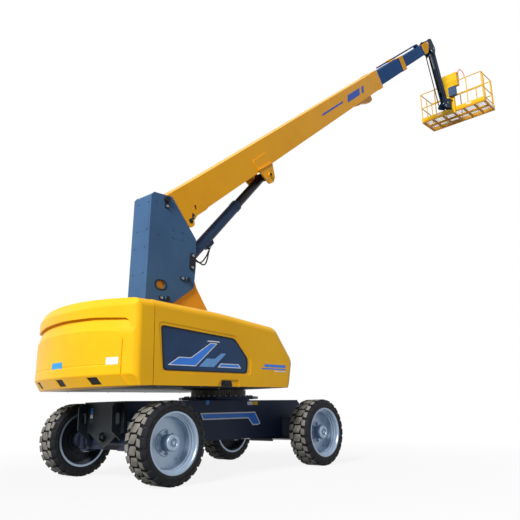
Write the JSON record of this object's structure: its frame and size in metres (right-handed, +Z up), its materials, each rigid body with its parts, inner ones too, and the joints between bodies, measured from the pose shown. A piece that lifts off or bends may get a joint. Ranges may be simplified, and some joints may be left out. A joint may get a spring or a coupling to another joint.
{
  "type": "telescopic boom lift",
  "caption": "Four-wheeled telescopic boom lift with a slewing turret, column, three-section boom, short jib and a railed work platform.",
  "frame": {"origin": "on the ground under the slewing axis", "axes": "+X the way the boom points, +Y the machine's left, +Z up"},
  "size_m": [14.458, 2.5, 12.4336],
  "materials": {
    "chassis_navy": "satin",
    "machine_yellow": "satin",
    "boom_yellow": "satin",
    "cast_yellow": "satin",
    "column_blue": "satin",
    "section_blue": "satin",
    "cover_black": "satin",
    "gear_steel": null,
    "rim_silver": "satin",
    "tyre_rubber": null,
    "window_gloss": "gloss",
    "engine_block": "matte",
    "tank_plastic": "matte",
    "cover_plastic": "satin",
    "box_plastic": "satin",
    "guard_red": "satin"
  },
  "bodies": {
    "chassis": {"chassis_frame": "chassis_navy", "slew_ring": "gear_steel", "axle_rear": "chassis_navy", "axle_front": "chassis_navy"},
    "tie_rear": {"tie_rod_rear": "gear_steel"},
    "tie_front": {"tie_rod_front": "gear_steel"},
    "turret": {"turntable": "machine_yellow", "counterweight": "cast_yellow", "front_cover": "machine_yellow", "engine": "engine_block", "tank": "tank_plastic", "tower": "column_blue"},
    "hood_right": {"hood_right": "machine_yellow", "window_right": "window_gloss", "latch_right": "cover_black"},
    "hood_left": {"hood_left": "machine_yellow", "window_left": "window_gloss", "latch_left": "cover_black"},
    "boom_base": {"boom_base": "boom_yellow"},
    "boom_mid": {"boom_mid": "section_blue"},
    "boom_fly": {"boom_fly": "section_blue", "hose_tray": "section_blue"},
    "lift_rod": {"lift_rod": "cover_black"},
    "lift_barrel": {"lift_barrel": "section_blue"},
    "jib_base": {"jib_base": "column_blue"},
    "jib_arm": {"jib_arm": "column_blue"},
    "jib_link": {"jib_link": "column_blue"},
    "jib_barrel": {"jib_barrel": "cover_black"},
    "jib_rod": {"jib_rod": "gear_steel"},
    "jib_head": {"jib_head": "machine_yellow"},
    "platform": {"platform_mast": "machine_yellow", "platform_floor": "machine_yellow", "deck_panel": "gear_steel", "toe_boards": "machine_yellow", "rails": "machine_yellow", "console": "cover_plastic", "control_box": "box_plastic", "guard_bar": "guard_red"},
    "gate": {"gate": "machine_yellow"},
    "knuckle_rear_right": {"knuckle_rear_right": "chassis_navy"},
    "wheel_rear_right": {"tyre_rear_right": "tyre_rubber", "rim_rear_right": "rim_silver"},
    "knuckle_rear_left": {"knuckle_rear_left": "chassis_navy"},
    "wheel_rear_left": {"tyre_rear_left": "tyre_rubber", "rim_rear_left": "rim_silver"},
    "knuckle_front_right": {"knuckle_front_right": "chassis_navy"},
    "wheel_front_right": {"tyre_front_right": "tyre_rubber", "rim_front_right": "rim_silver"},
    "knuckle_front_left": {"knuckle_front_left": "chassis_navy"},
    "wheel_front_left": {"tyre_front_left": "tyre_rubber", "rim_front_left": "rim_silver"}
  },
  "joints": [
    {"name": "steer_rear", "type": "hinge", "parent": "chassis", "child": "knuckle_rear_left", "pos_m": [-1.878, 0.82, 0.512], "axis": [0, 0, 1], "range_deg": [-32, 32]},
    {"name": "steer_rear_right", "type": "hinge", "parent": "chassis", "child": "knuckle_rear_right", "pos_m": [-1.878, -0.82, 0.512], "axis": [0, 0, 1], "range_deg": [-32, 32]},
    {"name": "tie_rod_rear_slide", "type": "slide", "parent": "chassis", "child": "tie_rear", "axis": [0, 1, 0], "range_m": [-0.0964, 0.0964]},
    {"name": "wheel_rear_left_roll", "type": "hinge", "parent": "knuckle_rear_left", "child": "wheel_rear_left", "pos_m": [-1.878, 1.055, 0.512], "axis": [0, 1, 0], "continuous": true},
    {"name": "wheel_rear_right_roll", "type": "hinge", "parent": "knuckle_rear_right", "child": "wheel_rear_right", "pos_m": [-1.878, -1.055, 0.512], "axis": [0, 1, 0], "continuous": true},
    {"name": "steer_front", "type": "hinge", "parent": "chassis", "child": "knuckle_front_left", "pos_m": [1.189, 0.82, 0.512], "axis": [0, 0, 1], "range_deg": [-32, 32]},
    {"name": "steer_front_right", "type": "hinge", "parent": "chassis", "child": "knuckle_front_right", "pos_m": [1.189, -0.82, 0.512], "axis": [0, 0, 1], "range_deg": [-32, 32]},
    {"name": "tie_rod_front_slide", "type": "slide", "parent": "chassis", "child": "tie_front", "axis": [0, 1, 0], "range_m": [-0.0964, 0.0964]},
    {"name": "wheel_front_left_roll", "type": "hinge", "parent": "knuckle_front_left", "child": "wheel_front_left", "pos_m": [1.189, 1.055, 0.512], "axis": [0, 1, 0], "continuous": true},
    {"name": "wheel_front_right_roll", "type": "hinge", "parent": "knuckle_front_right", "child": "wheel_front_right", "pos_m": [1.189, -1.055, 0.512], "axis": [0, 1, 0], "continuous": true},
    {"name": "slew", "type": "hinge", "parent": "chassis", "child": "turret", "pos_m": [0, 0, 1.19], "axis": [0, 0, 1], "continuous": true},
    {"name": "hood_right_lift", "type": "hinge", "parent": "turret", "child": "hood_right", "pos_m": [-2.216, -0.44, 2.263], "axis": [-0.998, 0, 0.0626], "range_deg": [0, 55]},
    {"name": "hood_left_lift", "type": "hinge", "parent": "turret", "child": "hood_left", "pos_m": [-2.216, 0.44, 2.263], "axis": [0.998, 0, -0.0626], "range_deg": [0, 55]},
    {"name": "boom_luff", "type": "hinge", "parent": "turret", "child": "boom_base", "pos_m": [-1.299, 0, 4.09], "axis": [0, -1, 0], "range_deg": [-38, 37]},
    {"name": "boom_extend", "type": "slide", "parent": "boom_base", "child": "boom_mid", "axis": [0.788, 0, 0.6157], "range_m": [-1.5, 4.9]},
    {"name": "boom_extend_fly", "type": "slide", "parent": "boom_mid", "child": "boom_fly", "axis": [0.788, 0, 0.6157], "range_m": [-1.5, 4.9]},
    {"name": "lift_rod_swing", "type": "hinge", "parent": "boom_base", "child": "lift_rod", "pos_m": [1.13806, 0, 5.22629], "axis": [0, -1, 0], "range_deg": [-3.3, 3.39]},
    {"name": "lift_cylinder", "type": "slide", "parent": "lift_rod", "child": "lift_barrel", "axis": [0.6829, 0, 0.7305], "range_m": [-0.6317, 0.6488]},
    {"name": "level", "type": "hinge", "parent": "boom_fly", "child": "jib_base", "pos_m": [9.05128, 0, 12.08769], "axis": [0, -1, 0], "range_deg": [-37, 38]},
    {"name": "jib_luff", "type": "hinge", "parent": "jib_base", "child": "jib_arm", "pos_m": [9.55, 0, 12.16], "axis": [0, -1, 0], "range_deg": [-4, 96]},
    {"name": "jib_link_swing", "type": "hinge", "parent": "jib_base", "child": "jib_link", "pos_m": [9.346, 0, 11.976], "axis": [0, -1, 0], "range_deg": [-4, 96]},
    {"name": "jib_level", "type": "hinge", "parent": "jib_arm", "child": "jib_head", "pos_m": [10.20223, 0, 10.46088], "axis": [0, -1, 0], "range_deg": [-96, 4]},
    {"name": "jib_barrel_swing", "type": "hinge", "parent": "jib_arm", "child": "jib_barrel", "pos_m": [10.02371, 0, 10.84224], "axis": [0, -1, 0], "range_deg": [-0.15, 2.45]},
    {"name": "jib_cylinder", "type": "slide", "parent": "jib_barrel", "child": "jib_rod", "axis": [-0.4211, 0, 0.907], "range_m": [-0.0144, 0.3004]},
    {"name": "platform_turn", "type": "hinge", "parent": "jib_head", "child": "platform", "pos_m": [10.5, 0, 10.54], "axis": [0, 0, 1], "range_deg": [-80, 80]},
    {"name": "gate_swing", "type": "hinge", "parent": "platform", "child": "gate", "pos_m": [10.96, -1.074, 10.9], "axis": [0, 0, 1], "range_deg": [0, 85]}
  ],
  "couplings": [
    {"joint": "steer_rear_right", "follows": "steer_rear", "ratio": 1},
    {"joint": "tie_rod_rear_slide", "follows": "steer_rear", "m_per_rad": 0.17079},
    {"joint": "steer_front_right", "follows": "steer_front", "ratio": 1},
    {"joint": "tie_rod_front_slide", "follows": "steer_front", "m_per_rad": -0.17079},
    {"joint": "boom_extend_fly", "follows": "boom_extend", "ratio": 1},
    {"joint": "lift_rod_swing", "follows": "boom_luff", "ratio": -0.086462},
    {"joint": "lift_cylinder", "follows": "boom_luff", "m_per_rad": -0.97517},
    {"joint": "level", "follows": "boom_luff", "ratio": -1},
    {"joint": "jib_link_swing", "follows": "jib_luff", "ratio": 1},
    {"joint": "jib_level", "follows": "jib_luff", "ratio": -1},
    {"joint": "jib_barrel_swing", "follows": "jib_luff", "ratio": 0.025},
    {"joint": "jib_cylinder", "follows": "jib_luff", "m_per_rad": 0.17807}
  ]
}
